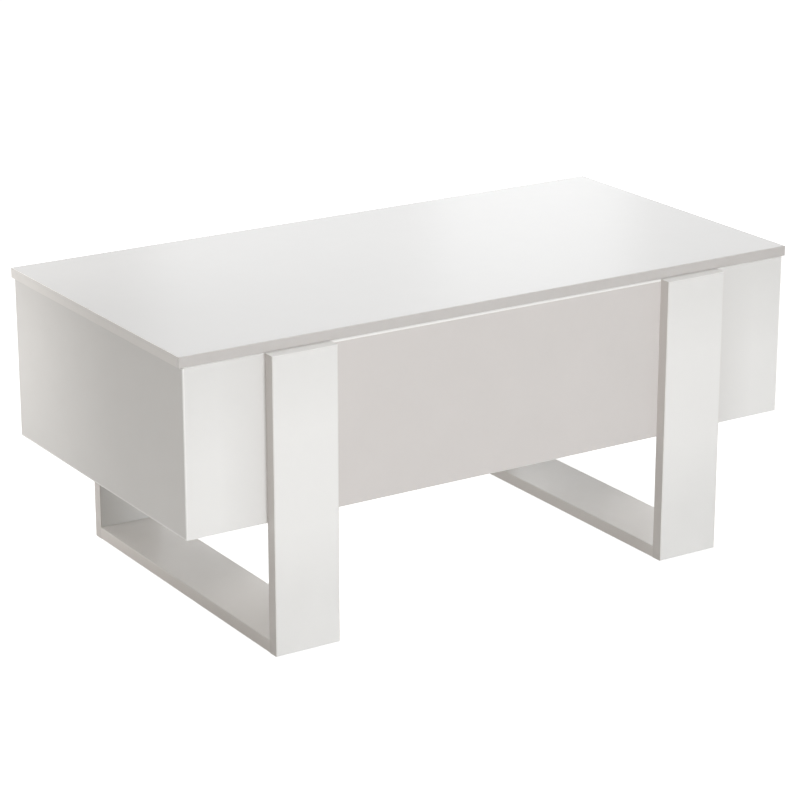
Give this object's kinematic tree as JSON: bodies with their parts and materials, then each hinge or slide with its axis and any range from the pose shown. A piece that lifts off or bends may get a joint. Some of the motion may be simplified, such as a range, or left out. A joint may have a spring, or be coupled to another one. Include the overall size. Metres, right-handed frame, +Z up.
{
  "type": "lift top coffee table",
  "caption": "Low rectangular storage table whose top rises and comes forward on a parallel arm linkage, on a carcass carried by flat sled leg frames.",
  "frame": {"origin": "on the floor, under the middle of the closed table", "axes": "+X along the table's length to the right, +Y to the back, +Z up; the front, where the top comes forward, faces -Y"},
  "size_m": [1, 0.536, 0.44],
  "materials": {
    "white_board": "white satin foil on particle board",
    "greige_board": "warm light grey satin foil on particle board",
    "inner_board": "white melamine, fine texture",
    "long_edge_band": "warm light grey ABS edge band",
    "end_edge_band": "off white ABS edge band",
    "beech": "planed beech",
    "zinc_steel": "bright zinc plate",
    "coated_steel": "fine textured powder coat",
    "nylon": "natural nylon",
    "black_steel": "gloss black paint",
    "strut_chrome": "ground and hard chromed",
    "insert_brass": "turned",
    "buffer_rubber": "moulded",
    "clear_bumper": "translucent silicone",
    "glide_felt": "pressed felt"
  },
  "bodies": {
    "carcass": {"front_board_left": "white_board", "front_board_right": "white_board", "front_fascia": "greige_board", "end_panel_left": "white_board", "end_panel_right": "white_board", "back_panel": "white_board", "bottom_panel": "inner_board", "corner_battens": "beech", "batten_screws": "zinc_steel", "angle_brackets": "zinc_steel", "angle_screws": "zinc_steel", "divider_left": "inner_board", "divider_right": "inner_board", "front_upright_left": "white_board", "front_upright_right": "white_board", "rear_upright_left": "white_board", "rear_upright_right": "white_board", "foot_board_left": "white_board", "foot_board_right": "white_board", "leg_screws": "zinc_steel", "leg_inserts": "insert_brass", "frame_dowels": "beech", "floor_glides": "glide_felt", "rim_bumpers": "clear_bumper", "base_bracket_left": "coated_steel", "base_bracket_right": "coated_steel", "base_bracket_screws": "zinc_steel", "lower_pivot_pins": "zinc_steel", "lower_pivot_washers": "nylon", "stop_pins": "zinc_steel", "stop_sleeves": "buffer_rubber", "strut_lower_studs": "zinc_steel"},
    "front_arms": {"front_arm_left": "coated_steel", "front_arm_right": "coated_steel", "tie_tube": "coated_steel"},
    "rear_arms": {"rear_arm_left": "coated_steel", "rear_arm_right": "coated_steel", "strut_upper_studs": "zinc_steel"},
    "lift_top": {"top_board": "white_board", "top_long_edging": "long_edge_band", "top_end_edging": "end_edge_band", "top_bracket_left": "coated_steel", "top_bracket_right": "coated_steel", "top_bracket_screws": "zinc_steel", "upper_pivot_pins": "zinc_steel", "upper_pivot_washers": "nylon"},
    "strut_cylinders": {"strut_cylinder_left": "black_steel", "strut_cylinder_right": "black_steel", "strut_glands": "nylon", "strut_lower_eyes": "zinc_steel"},
    "strut_rods": {"strut_rod_left": "strut_chrome", "strut_rod_right": "strut_chrome", "strut_upper_eyes": "zinc_steel"}
  },
  "joints": [
    {"name": "lift", "type": "hinge", "parent": "carcass", "child": "front_arms", "pos_m": [0, -0.175, 0.3518], "axis": [1, 0, 0], "range_deg": [0, 105]},
    {"name": "rear_arm_swing", "type": "hinge", "parent": "carcass", "child": "rear_arms", "pos_m": [0, -0.085, 0.3318], "axis": [1, 0, 0], "range_deg": [0, 105]},
    {"name": "top_level", "type": "hinge", "parent": "front_arms", "child": "lift_top", "pos_m": [0, 0.04166, 0.39], "axis": [1, 0, 0], "range_deg": [-105, 0]},
    {"name": "strut_cylinder_swing", "type": "hinge", "parent": "carcass", "child": "strut_cylinders", "pos_m": [0, -0.03846, 0.232], "axis": [1, 0, 0], "range_deg": [0, 52.5]},
    {"name": "strut_rod_swing", "type": "hinge", "parent": "rear_arms", "child": "strut_rods", "pos_m": [0, 0.02344, 0.35092], "axis": [1, 0, 0], "range_deg": [-52.5, 0]}
  ],
  "couplings": [
    {"joint": "rear_arm_swing", "follows": "lift", "ratio": 1},
    {"joint": "top_level", "follows": "lift", "ratio": -1},
    {"joint": "strut_cylinder_swing", "follows": "lift", "ratio": 0.5},
    {"joint": "strut_rod_swing", "follows": "lift", "ratio": -0.5}
  ]
}
